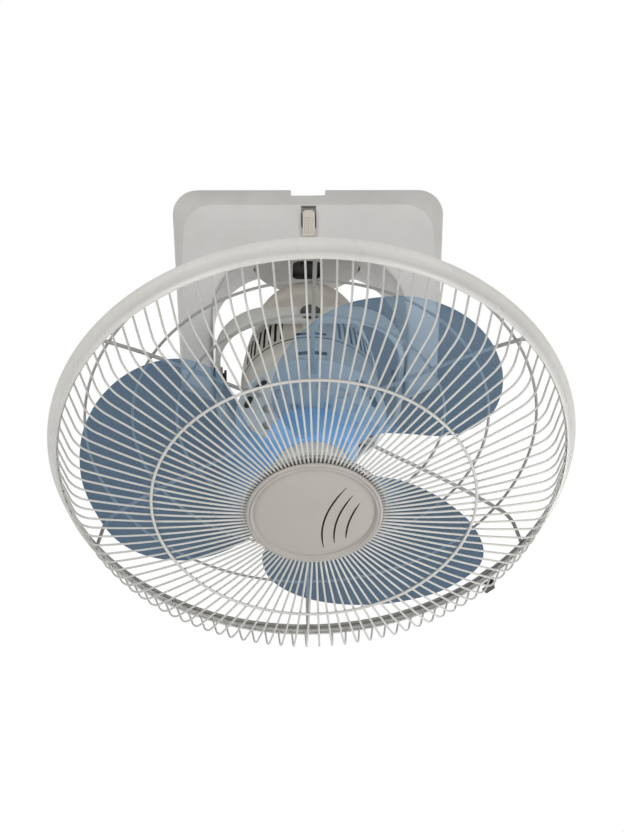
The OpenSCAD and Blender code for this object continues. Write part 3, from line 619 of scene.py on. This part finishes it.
def buildDisc(s):
    radius, low, high, edge, hub, shaft = (s[key] for key in ("radius", "low", "high", "edge", "hub", "shaft"))
    disc = lathe("orbitDisc", [(0, low + edge), (hub, low + edge), (hub + 1, low), (radius - edge, low),
                               (radius, low + edge), (radius, high), (hub, high), (hub, s["hubTop"]),
                               (shaft, s["hubTop"]), (shaft, s["shaftTop"]), (0, s["shaftTop"])], 128)
    disc.data.materials.append(paints["housingPlastic"])
    floor = low + s["pocketDeep"]
    pocket = prism("pocket", roundedOutline(*s["pocket"], s["pocketRound"], 6), low - 5, floor)
    # the pocket's walls and floor take painted shade, for the dark opening round the pin
    cutBy(disc, "pocket", [pocket], "paintedShade")
    seated(disc, "housingPlastic", "crank_body", ["crank"], orbitFrame, sharp=30)
    pin, pinLow, wide, bossLow = s["pin"], s["pinLow"], s["boss"], s["bossLow"]
    boss = lathe("crankBoss", [(0, pinLow), (pin - 0.5, pinLow), (pin, pinLow + 0.5), (pin, bossLow),
                               (wide - edge, bossLow), (wide, bossLow + edge), (wide, low + edge), (0, low + edge)],
                 48, Matrix.Translation((0, s["reach"], 0)))
    screw = lathe("hubScrew", [(0, low + 0.8), (2.2, low + 0.8), (2.6, low + 1.2), (5.4, low + 1.2),
                               (5.4, floor + 0.3), (0, floor + 0.3)], 6)
    seated(joined("crankBoss", [boss, screw]), "darkSteel", "crank_body", [], orbitFrame)


buildDisc(discSet)
print("orbit disc built")


# release lever
leverSet = {"width": 11, "height": 24, "top": -21.3, "corner": 2.5, "grooves": 5, "grooveFirst": 1.6,
            "grooveStep": 1.75, "grooveWide": 0.8}


def buildLever(s):
    front = -baseSet["depth"] / 2
    w, top, low, cut = s["width"] / 2, s["top"], s["top"] - s["height"], s["corner"]
    middle = (top + low) / 2
    shape = [(-w, low), (w, low), (w, top - cut), (w - cut, top), (-w + cut, top), (-w, top - cut)]
    steps = [(front - 0.6, 0), (front - 3.4, 0), (front - 4.2, 0.35), (front - 4.4, 0.9)]
    lever = loft("leverThumb", [[(x * (1 - inset / w), y, z - (z - middle) * inset / (s["height"] / 2))
                                 for x, z in shape] for y, inset in steps])
    stem = [block("leverStem", (-w, front - 0.9, -29), (w, front + 12, -22)),
            block("leverFoot", (-w, front + 11, -29), (w, front + 18.4, -24)),
            block("leverCatch", (-w, front + 15.6, -25), (w, front + 18.4, -16.3))]
    for piece in stem:
        combined(lever, piece, "UNION")
    grooves = []
    for i in range(s["grooves"]):
        left = -w + s["grooveFirst"] + s["grooveStep"] * i
        right = left + s["grooveWide"]
        grooves.append(block("gripGroove", (left, front - 5, low + 1.5), (right, front - 3.9, low + 17)))
    combined(lever, joined("gripGrooves", grooves))
    softened(lever, 0.25, 40)
    return seated(lever, "leverPlastic", "lever", ["release_lever"], baseFrame)


buildLever(leverSet)
print("lever built")


# gimbal ring with its four bosses
gimbalSet = {"halfWidth": 84, "halfHeight": 74, "corner": 50, "wall": 4.5, "width": 20, "round": 1.3,
             "bossRadius": 9.6, "bossLong": 6.7, "bossIn": 2, "bore": 7.02}


def buildGimbal(s):
    h, wall, r = s["width"] / 2, s["wall"], s["round"]
    # section round the wall: inset from the outline, and place along the axis
    section = [(r, -h), (0.3 * r, -h + 0.3 * r), (0, -h + r), (0, h - r), (0.3 * r, h - 0.3 * r), (r, h),
               (wall - 0.5, h), (wall, h - 0.5), (wall, -h + 0.5), (wall - 0.5, -h)]

    def build(made):
        rows = []
        for inset, w in section:
            x, y = s["halfWidth"] - inset, s["halfHeight"] - inset
            outline = roundedOutline((-x, -y), (x, y), s["corner"] - inset, 20)
            rows.append([made.verts.new((*p, w)) for p in outline])
        for one, two in zip(rows, rows[1:] + rows[:1]):
            for i in range(len(one)):
                k = (i + 1) % len(one)
                made.faces.new((one[i], one[k], two[k], two[i]))
    ring = objectOf("gimbalBand", meshOf("gimbalBand", build))
    quarters = [(spin(90 * quarter) @ spin(90, "Y"), s[side] - wall - s["bossIn"])
                for quarter, side in enumerate(("halfWidth", "halfHeight") * 2)]
    wide, long = s["bossRadius"], s["bossLong"]
    for turn, low in quarters:
        boss = [(0, low), (wide - 0.6, low), (wide, low + 0.6), (wide, low + long), (0, low + long)]
        combined(ring, lathe("boss", boss, 48, turn), "UNION")
    for turn, low in quarters:
        combined(ring, cylinder("bore", s["bore"], low - 8, low + 20, 48, turn))
    return seated(ring, "ringPaint", "gimbal", ["gimbal_ring"], headFrame)


buildGimbal(gimbalSet)
print("gimbal ring built")


# motor housing: vents are half width, lower and upper end, and holes have two half lengths by turns
motorSet = {"dome": 49.5, "radius": 61.5, "domeAt": -58.5, "stemBore": 4.52, "skirtFront": 18, "skirtSteps": 12,
            "wall": 2.5, "coverFront": 52.5, "slots": 8, "slotStep": 5.6, "slotFirst": 26, "slotShift": 1.2,
            "slotHalf": 1.3, "slotLow": -15, "slotHigh": 14, "pin": 4, "pinWall": 4.5,
            "pinEnds": (59, 66.7), "darkOut": -5, "darkAlong": 0.6, "ventTurn": 8.2,
            "rearVents": (5, 11.4, 14.6), "frontVents": (5.5, 34.5, 37.5), "holes": 16, "holeRound": 3.2,
            "holeIn": 8.4, "holeHalves": (3.4, 2.0)}


def skirtRadius(s, w):
    share = math.radians(90 * (w - s["domeAt"]) / (s["skirtFront"] - s["domeAt"]))
    return s["dome"] + (s["radius"] - s["dome"]) * math.sin(share)


def shadeInside(s, cover, inward):
    # painted shade: the inner walls take no light from the room, so they are painted dark
    cover.data.materials.append(paints["motorPaint"])
    cover.data.materials.append(paints["paintedShade"])
    for face in cover.data.polygons:
        outward = face.center.x * face.normal.x + face.center.y * face.normal.y
        if outward < s["darkOut"] or inward * face.normal.z > s["darkAlong"]:
            face.material_index = 1


def ventBlocks(s, key):
    # a pair of short vents beside each pin boss
    half, low, high = s[key]
    return [block("vent", (50, -half, low), (70, half, high), spin(90 + end + side * s["ventTurn"]))
            for end in (0, 180) for side in (-1, 1)]


def buildRearCover(s):
    dome, at, front, wall, steps = s["dome"], s["domeAt"], s["skirtFront"], s["wall"], s["skirtSteps"]
    places = [at + (front - at) * i / steps for i in range(steps)]
    outer = [(s["stemBore"], at - dome + 0.21)] + arcPoints((0, at), dome, -81, -1, 16)
    outer += [(skirtRadius(s, w), w) for w in places] + [(s["radius"], front - 0.6), (s["radius"] - 0.5, front)]
    inner = [(s["radius"] - wall, front)] + [(skirtRadius(s, w) - wall, w) for w in reversed(places)]
    inner += arcPoints((0, at), dome - wall, -6, -81, 15) + [(s["stemBore"], at - dome + wall + 0.22)]
    cover = lathe("motorRearShell", outer + inner, 144)
    shadeInside(s, cover, 1)
    bore, wide, (low, high) = s["pin"] + 0.02, s["pin"] + s["pinWall"], s["pinEnds"]
    boss = [(bore, low), (wide, low), (wide, high - 0.6), (wide - 0.6, high), (bore, high)]
    for side in (0, 180):
        combined(cover, lathe("pinBoss", boss, 48, spin(side) @ spin(-90, "X")), "UNION")
    h, low, high = s["slotHalf"], s["slotLow"], s["slotHigh"]
    shape = [(-h, low), (h, low), (h, high - 0.8), (0.5 * h, high), (-0.5 * h, high), (-h, high - 0.8)]
    slots = []
    for group in range(4):
        for i in range(s["slots"]):
            angle = s["slotFirst"] + s["slotStep"] * i + 90 * group - (group % 2) * s["slotShift"]
            slots.append(loft("slot", [[(x, y, z) for y, z in shape] for x in (45, 67)], spin(angle)))
    # the vent walls take painted shade
    cutBy(cover, "ventCuts", slots + ventBlocks(s, "rearVents"), "paintedShade")
    return seated(cover, "motorPaint", "head", ["motor_rear_cover"], headFrame, sharp=30)


def buildFrontCover(s):
    r, front = s["radius"], s["coverFront"]
    outer = [(r - 0.5, 18.3), (r, 18.9), (r, 26), (r - 0.5, 29.5), (r - 1.4, 32.6), (r - 2.7, 36), (r - 4.4, 39.2),
             (r - 6.6, 42), (r - 9.2, 44.6), (r - 12.4, 47), (r - 16, 48.9), (r - 20, 50.4), (r - 24.5, 51.5),
             (r - 29, 52.2), (r - 34, front), (14.5, front), (14, front - 0.4)]
    inner = [(14, 40), (14, front - 2.6), (r - 33, front - 2.6), (r - 25, 48.7), (r - 16.6, 45.8),
             (r - 10.4, 41.8), (r - 6.5, 36.8), (r - 3.9, 31), (r - 2.6, 26), (r - 2.6, 18.3)]
    cover = lathe("motorFrontShell", outer + [(11.03, front - 0.4), (11.03, 40)] + inner, 144)
    shadeInside(s, cover, -1)
    holes = []
    for i in range(s["holes"]):
        half = s["holeHalves"][i % 2]
        shape = [(r - s["holeIn"] + x, y + (half if y > 0 else -half))
                 for x, y in arcPoints((0, 0), s["holeRound"], 0, 330, 11)]
        holes.append(prism("hole", shape, 30, 60, spin(360 / s["holes"] * (i + 0.5))))
    # the walls of the holes and vents take painted shade
    cutBy(cover, "coverHoles", holes, "paintedShade")
    cutBy(cover, "frontVents", ventBlocks(s, "frontVents"), "paintedShade")
    return seated(cover, "motorPaint", "head", ["motor_front_cover"], headFrame, sharp=30)


buildRearCover(motorSet)
buildFrontCover(motorSet)
print("motor housing built")


# plate that carries the guard, with shallow oval recesses near its edge whose walls take painted shade, so they read
# as dark windows
windowSet = {"radius": 57.5, "long": 7.2, "wide": 2.7, "floor": 53.2,
             "angles": (18, 40, 140, 162, 198, 221, 319, 342)}


def buildGuardPlate(s):
    plate = objectOf("guardPlate", nodes["rear_plate"].data.copy())
    plate.data.transform(headFrame.inverted() @ nodes["rear_plate"].matrix_world)
    plate.data.materials.clear()
    plate.data.materials.append(paints["platePaint"])
    shape = [(s["radius"] + x, y + math.copysign(s["long"] - s["wide"], y))
             for x, y in arcPoints((0, 0), s["wide"], 0, 336, 14)]
    windows = [prism("window", shape, s["floor"], 70, spin(angle)) for angle in s["angles"]]
    # the window walls take painted shade
    cutBy(plate, "windows", windows, "paintedShade")
    return seated(plate, "platePaint", "head", ["rear_plate"], headFrame, sharp=30)


buildGuardPlate(windowSet)
print("guard plate built")


# blades and hub
bladeSet = {"count": 3, "first": 185, "pitch": 11.3, "along": 120, "bend": 620, "sag": 7, "thick": 2,
            "hubBack": 88, "hubFront": 122, "hubIn": 36.6, "centre": (112, -12)}
bladeOutline = [(24, 20), (40, 46), (51, 60), (73, 74), (98, 82), (120, 84), (144, 80), (164, 71), (180, 56),
                (191, 34), (197.5, 12), (199, -8), (196, -32), (189, -54), (176, -77), (160, -95), (144, -107),
                (126, -115), (106, -118), (88, -113), (74, -103), (64, -86), (57, -60), (48, -36), (28, -20)]


def smoothLoop(points, between):
    out = []
    count = len(points)
    for i in range(count):
        a, b, c, d = (points[(i + k) % count] for k in (-1, 0, 1, 2))
        for j in range(between):
            t = j / between
            out.append(tuple(0.5 * (2 * q + (r - p) * t + (2 * p - 5 * q + 4 * r - e) * t * t
                                    + (3 * q - p - 3 * r + e) * t ** 3) for p, q, r, e in zip(a, b, c, d)))
    return out


def bladeHeight(s, x, inward):
    # height of the bent sheet over sideways place x, inward from its front face
    pitch = math.radians(s["pitch"])
    across, rise = x, 0.0
    for _ in range(4):
        across = (x - rise * math.sin(pitch)) / math.cos(pitch)
        rise = s["bend"] - s["sag"] - math.sqrt((s["bend"] - inward) ** 2 - across ** 2)
    return s["along"] - across * math.sin(pitch) + rise * math.cos(pitch)


def oneBlade(s, index):
    edge = smoothLoop(bladeOutline, 4)
    cx, cy = s["centre"]
    # steps in from the edge: scale about the centre, and share of the thickness
    steps = [(1.0, 0.0), (0.996, 0.55), (0.988, 0.85), (0.975, 1.0), (0.93, 1.0), (0.85, 1.0), (0.74, 1.0),
             (0.6, 1.0), (0.45, 1.0), (0.3, 1.0), (0.15, 1.0)]

    def build(made):
        def spot(p, scale, share, side):
            x, y = -(cy + (p[1] - cy) * scale), cx + (p[0] - cx) * scale
            middle = s["thick"] / 2
            return made.verts.new((x, y, bladeHeight(s, x, middle + side * share * middle)))
        for side in (-1, 1):
            rings = [[spot(p, scale, share, side) for p in edge] for scale, share in steps]
            centre = spot((cx, cy), 0, 1, side)
            for one, two in zip(rings, rings[1:]):
                for i in range(len(edge)):
                    k = (i + 1) % len(edge)
                    made.faces.new((one[i], one[k], two[k], two[i]))
            for i in range(len(edge)):
                made.faces.new((rings[-1][i], rings[-1][(i + 1) % len(edge)], centre))
    return placed(objectOf("blade", meshOf("blade", build)), spin(s["first"] - 90 - 360 / s["count"] * index))


def buildBlades(s):
    back, front = s["hubBack"], s["hubFront"]
    hub = lathe("bladesAndHub", [(5.02, back), (11, back), (11, front - 4), (12, front - 3), (32, front - 3),
                                 (33, front - 4), (37.5, back + 0.4), (38.2, back), (40.6, back), (41, back + 0.5),
                                 (36.2, front - 1.5), (35.4, front - 0.4), (34, front), (5.02, front)])
    for index in range(s["count"]):
        blade = oneBlade(s, index)
        combined(blade, cylinder("hubCut", s["hubIn"], 60, 160))
        combined(hub, blade, "UNION")
    return seated(hub, "bladePlastic", "fan", ["blade_set"], headFrame, sharp=30)


buildBlades(bladeSet)


# fluted nut in front of the hub
nutSet = {"radius": 34, "foot": 122.3, "bore": 5.02, "flutes": 12, "fluteRadius": 3.5, "fluteReach": 36}


def buildNut(s):
    f, r, bore = s["foot"], s["radius"], s["bore"]
    nut = lathe("spinnerNut", [(bore, f), (r - 0.5, f), (r, f + 0.5), (r, f + 6), (r - 0.5, f + 7.4), (r - 1.6, f + 9),
                               (r - 3, f + 10.6), (r - 5, f + 12.2), (r - 8, f + 13.6), (r - 11.5, f + 14.6),
                               (r - 15, f + 15), (0, f + 15), (0, f + 9), (bore, f + 9)])
    flute = cylinder("flute", s["fluteRadius"], f - 1, f + 20, 24, Matrix.Translation((s["fluteReach"], 0, 0)))
    combined(nut, repeated(flute, roundCopies, s["flutes"], "nutPlastic"))
    softened(nut, 0.4, 35)
    return seated(nut, "nutPlastic", "fan", ["spinner_nut"], headFrame)


buildNut(nutSet)
print("blades, hub and nut built")


# guard: front wires, rings, ribs, rim
guardSet = {"rim": 227.6, "rimTaper": 7.0, "rimRear": 95.2, "rimFront": 112.2, "wires": 108, "wireFirst": 2.57,
            "wire": 0.9, "bend": (184.9, 123.7), "bendRadius": 25, "bendEnd": 75, "sweep": 780, "wireIn": 52.3,
            "frontRing": 136.4, "innerRing": 60, "ringWire": 1.25, "ringOff": 1.3, "rearRings": (117.5, 156, 197),
            "edgeWire": 1.6, "edgeIn": 3.63, "edgeOff": 3.5}


def rimAt(s, w):
    return s["rim"] - s["rimTaper"] * (w - s["rimRear"]) / (s["rimFront"] - s["rimRear"])


def sweepCentre(s):
    end = math.radians(s["bendEnd"])
    reach = s["sweep"] - s["bendRadius"]
    return s["bend"][0] - reach * math.cos(end), s["bend"][1] - reach * math.sin(end)


def wireFront(s, r):
    # place along the axis of the front wires at radius r
    x, w = sweepCentre(s)
    return w + math.sqrt(s["sweep"] ** 2 - (r - x) ** 2)


def buildFrontWires(s):
    bend, radius = s["bend"], s["bendRadius"]
    edge = (rimAt(s, s["rimFront"] - s["edgeOff"]) - 4.43, s["rimFront"] - 1.95)
    dx, dz = edge[0] - bend[0], edge[1] - bend[1]
    start = math.degrees(math.atan2(dz, dx)) + math.degrees(math.acos(radius / math.hypot(dx, dz)))
    path = [edge] + arcPoints(bend, radius, start, s["bendEnd"], 14)
    centre = sweepCentre(s)
    end = math.degrees(math.acos((s["wireIn"] - centre[0]) / s["sweep"]))
    path += arcPoints(centre, s["sweep"], s["bendEnd"], end, 12)[1:]
    wires = lineOf("frontWires", [(r, 0, w) for r, w in path])
    wires = repeated(wires, roundTubes, s["wires"], "wirePaint", s["wireFirst"], radius=s["wire"])
    return seated(wires, "wirePaint", "head", ["front_wires"], headFrame, sharp=60)


def wireRing(name, radius, w, wire, steps):
    return lathe(name, arcPoints((radius, w), wire, 0, 360, 14)[:-1], steps)


def ringPiece(name, radius, w, wire, paint, node):
    return seated(wireRing(name, radius, w, wire, 216), paint, "head", [node], headFrame, sharp=60)


def edgeRing(s, name, w, paint, node):
    return ringPiece(name, rimAt(s, w) - s["edgeIn"], w, s["edgeWire"], paint, node)


def buildFrontRings(s):
    # one ring lies over the wires, the other under them
    for name, node, side in (("frontRing", "front_ring", 1), ("innerRing", "inner_ring", -1)):
        w = wireFront(s, s[name]) + side * (s["wire"] + s["ringOff"])
        ringPiece(name, s[name], w, s["ringWire"], "wirePaint", node)
    edgeRing(s, "frontEdgeRing", s["rimFront"] - s["edgeOff"], "wirePaint", "front_edge_ring")


# rear ribs: a straight run at the first lean, a wide bow, a tight turn and a straight end
ribSet = {"count": 6, "first": 90, "radius": 1.7, "inner": 52, "seat": 60, "seatOff": 54.5, "leans": (3.3, 11.5, 75),
          "bowStart": 125, "turnIn": 27.2, "turn": 19, "endOff": 6}


def ribProfile(s):
    sine, cosine = (lambda a: math.sin(math.radians(a))), (lambda a: math.cos(math.radians(a)))
    a1, a2, a3 = s["leans"]
    slope = math.tan(math.radians(a1))
    r1, r2 = s["bowStart"], guardSet["rim"] - s["turnIn"]
    w1 = s["seatOff"] + s["radius"] + (r1 - s["seat"]) * slope
    bow = (r2 - r1) / (sine(a2) - sine(a1))
    w2 = w1 + bow * (cosine(a1) - cosine(a2))
    turn = s["turn"]
    r3, w3 = r2 + turn * (sine(a3) - sine(a2)), w2 + turn * (cosine(a2) - cosine(a3))
    end = guardSet["rimRear"] + s["endOff"]
    path = [(s["inner"], w1 - (r1 - s["inner"]) * slope), (r1, w1)]
    path += arcPoints((r1 - bow * sine(a1), w1 + bow * cosine(a1)), bow, a1 - 90, a2 - 90, 10)[1:]
    path += arcPoints((r2 - turn * sine(a2), w2 + turn * cosine(a2)), turn, a2 - 90, a3 - 90, 12)[1:]
    path.append((r3 + (end - w3) / sine(a3) * cosine(a3), end))

    def ribAt(r):
        if r < r1:
            return w1 - (r1 - r) * slope
        return w1 + bow * cosine(a1) - math.sqrt(bow ** 2 - (bow * sine(a1) + r - r1) ** 2)
    return path, ribAt


def buildRearGuard(s, ribs):
    path, ribAt = ribProfile(ribs)
    line = lineOf("rearRibs", [(r, 0, w) for r, w in path])
    line = repeated(line, roundTubes, ribs["count"], "rearPaint", ribs["first"], radius=ribs["radius"])
    seated(line, "rearPaint", "head", ["rear_ribs"], headFrame, sharp=60)
    wire = s["ringWire"]
    rings = [wireRing("rearRing", r, ribAt(r) - ribs["radius"] - wire, wire, 200) for r in s["rearRings"]]
    seated(joined("rearRings", rings), "rearPaint", "head", ["rear_rings"], headFrame, sharp=60)
    edgeRing(s, "rearEdgeRing", s["rimRear"] + s["edgeOff"], "rearPaint", "rear_edge_ring")


def buildRim(s):
    low, high, rim = s["rimRear"], s["rimFront"], s["rim"]
    tip = rimAt(s, high)
    at = lambda w, inward=0: (rimAt(s, w) - inward, w)
    outer = [(rim - 2.9, low), (rim - 1.3, low), (rim - 0.6, low + 0.25), (rim - 0.25, low + 0.7),
             at(low + 1.5), at(low + 4.2), at(low + 4.9, 0.35), at(high - 4.9, 0.35), at(high - 4.2), at(high - 1.5),
             (tip - 0.25, high - 0.7), (tip - 0.6, high - 0.25), (tip - 1.2, high), (tip - 2.3, high)]
    inner = [(tip - 2.3, high - 1.6), at(high - 1.6, 1.68), at(low + 1.6, 1.68), (rim - 2.9, low + 1.6)]
    return seated(lathe("rimHoop", outer + inner, 240), "rimPaint", "head", ["rim_hoop"], headFrame, sharp=28)


buildFrontWires(guardSet)
buildFrontRings(guardSet)
buildRearGuard(guardSet, ribSet)
buildRim(guardSet)
print("guard built")


# centre cap, with gently bowed grooves side by side, each shorter than the last, whose walls take painted shade
capSet = {"radius": 57.3, "crown": 5.2, "bow": 340, "seatRadius": 54, "seatOff": 0.2}
grooveSet = {"count": 3, "width": 1.6, "first": 9, "step": 10.5, "long": 72, "shorter": 15, "bow": 150,
             "turn": -14, "floorOff": 4.4, "parts": 16}


def capGroove(s, index, crown):
    middle, length = s["first"] + s["step"] * index, s["long"] - s["shorter"] * index
    outline = []
    for side in (-1, 1):
        row = []
        for k in range(s["parts"] + 1):
            share = k / s["parts"]
            t = (share - 0.5) * length
            reach = s["width"] / 2 * min(1, 0.35 + 1.3 * math.sin(math.pi * share))
            row.append((middle + t * t / s["bow"] + side * reach, t))
        outline += row if side < 0 else row[::-1]
    return prism("groove", outline, crown - s["floorOff"], crown + 4, spin(s["turn"]))


def buildCap(s, grooves):
    seat = wireFront(guardSet, s["seatRadius"]) + guardSet["wire"] + s["seatOff"]
    r = s["radius"]
    crown = seat + s["crown"]
    face = [(x, crown - s["bow"] + math.sqrt(s["bow"] ** 2 - x * x)) for x in (51, 46, 40, 32, 24, 16, 8, 0)]
    profile = [(0, seat), (r - 1.4, seat)] + arcPoints((r - 1.8, seat + 1.8), 1.8, -60, 130, 9)
    profile += [(r - 2.9, seat + 2.9)] + arcPoints((r - 4.1, seat + 3.4), 1.0, 10, 170, 7)
    profile += [(r - 5.3, seat + 3.0)] + face
    cap = lathe("centreCap", profile, 160)
    cap.data.materials.append(paints["capPlastic"])
    # the groove walls take painted shade
    cutBy(cap, "grooves", [capGroove(grooves, i, crown) for i in range(grooves["count"])], "grooveShade")
    post = cylinder("capPost", 6, seat - 4, seat + 0.5, 40, bore=2.02)
    post.data.materials.append(paints["capPlastic"])
    combined(cap, post, "UNION")
    return seated(cap, "capPlastic", "head", ["centre_cap"], headFrame, sharp=30)


buildCap(capSet, grooveSet)
print("cap built")
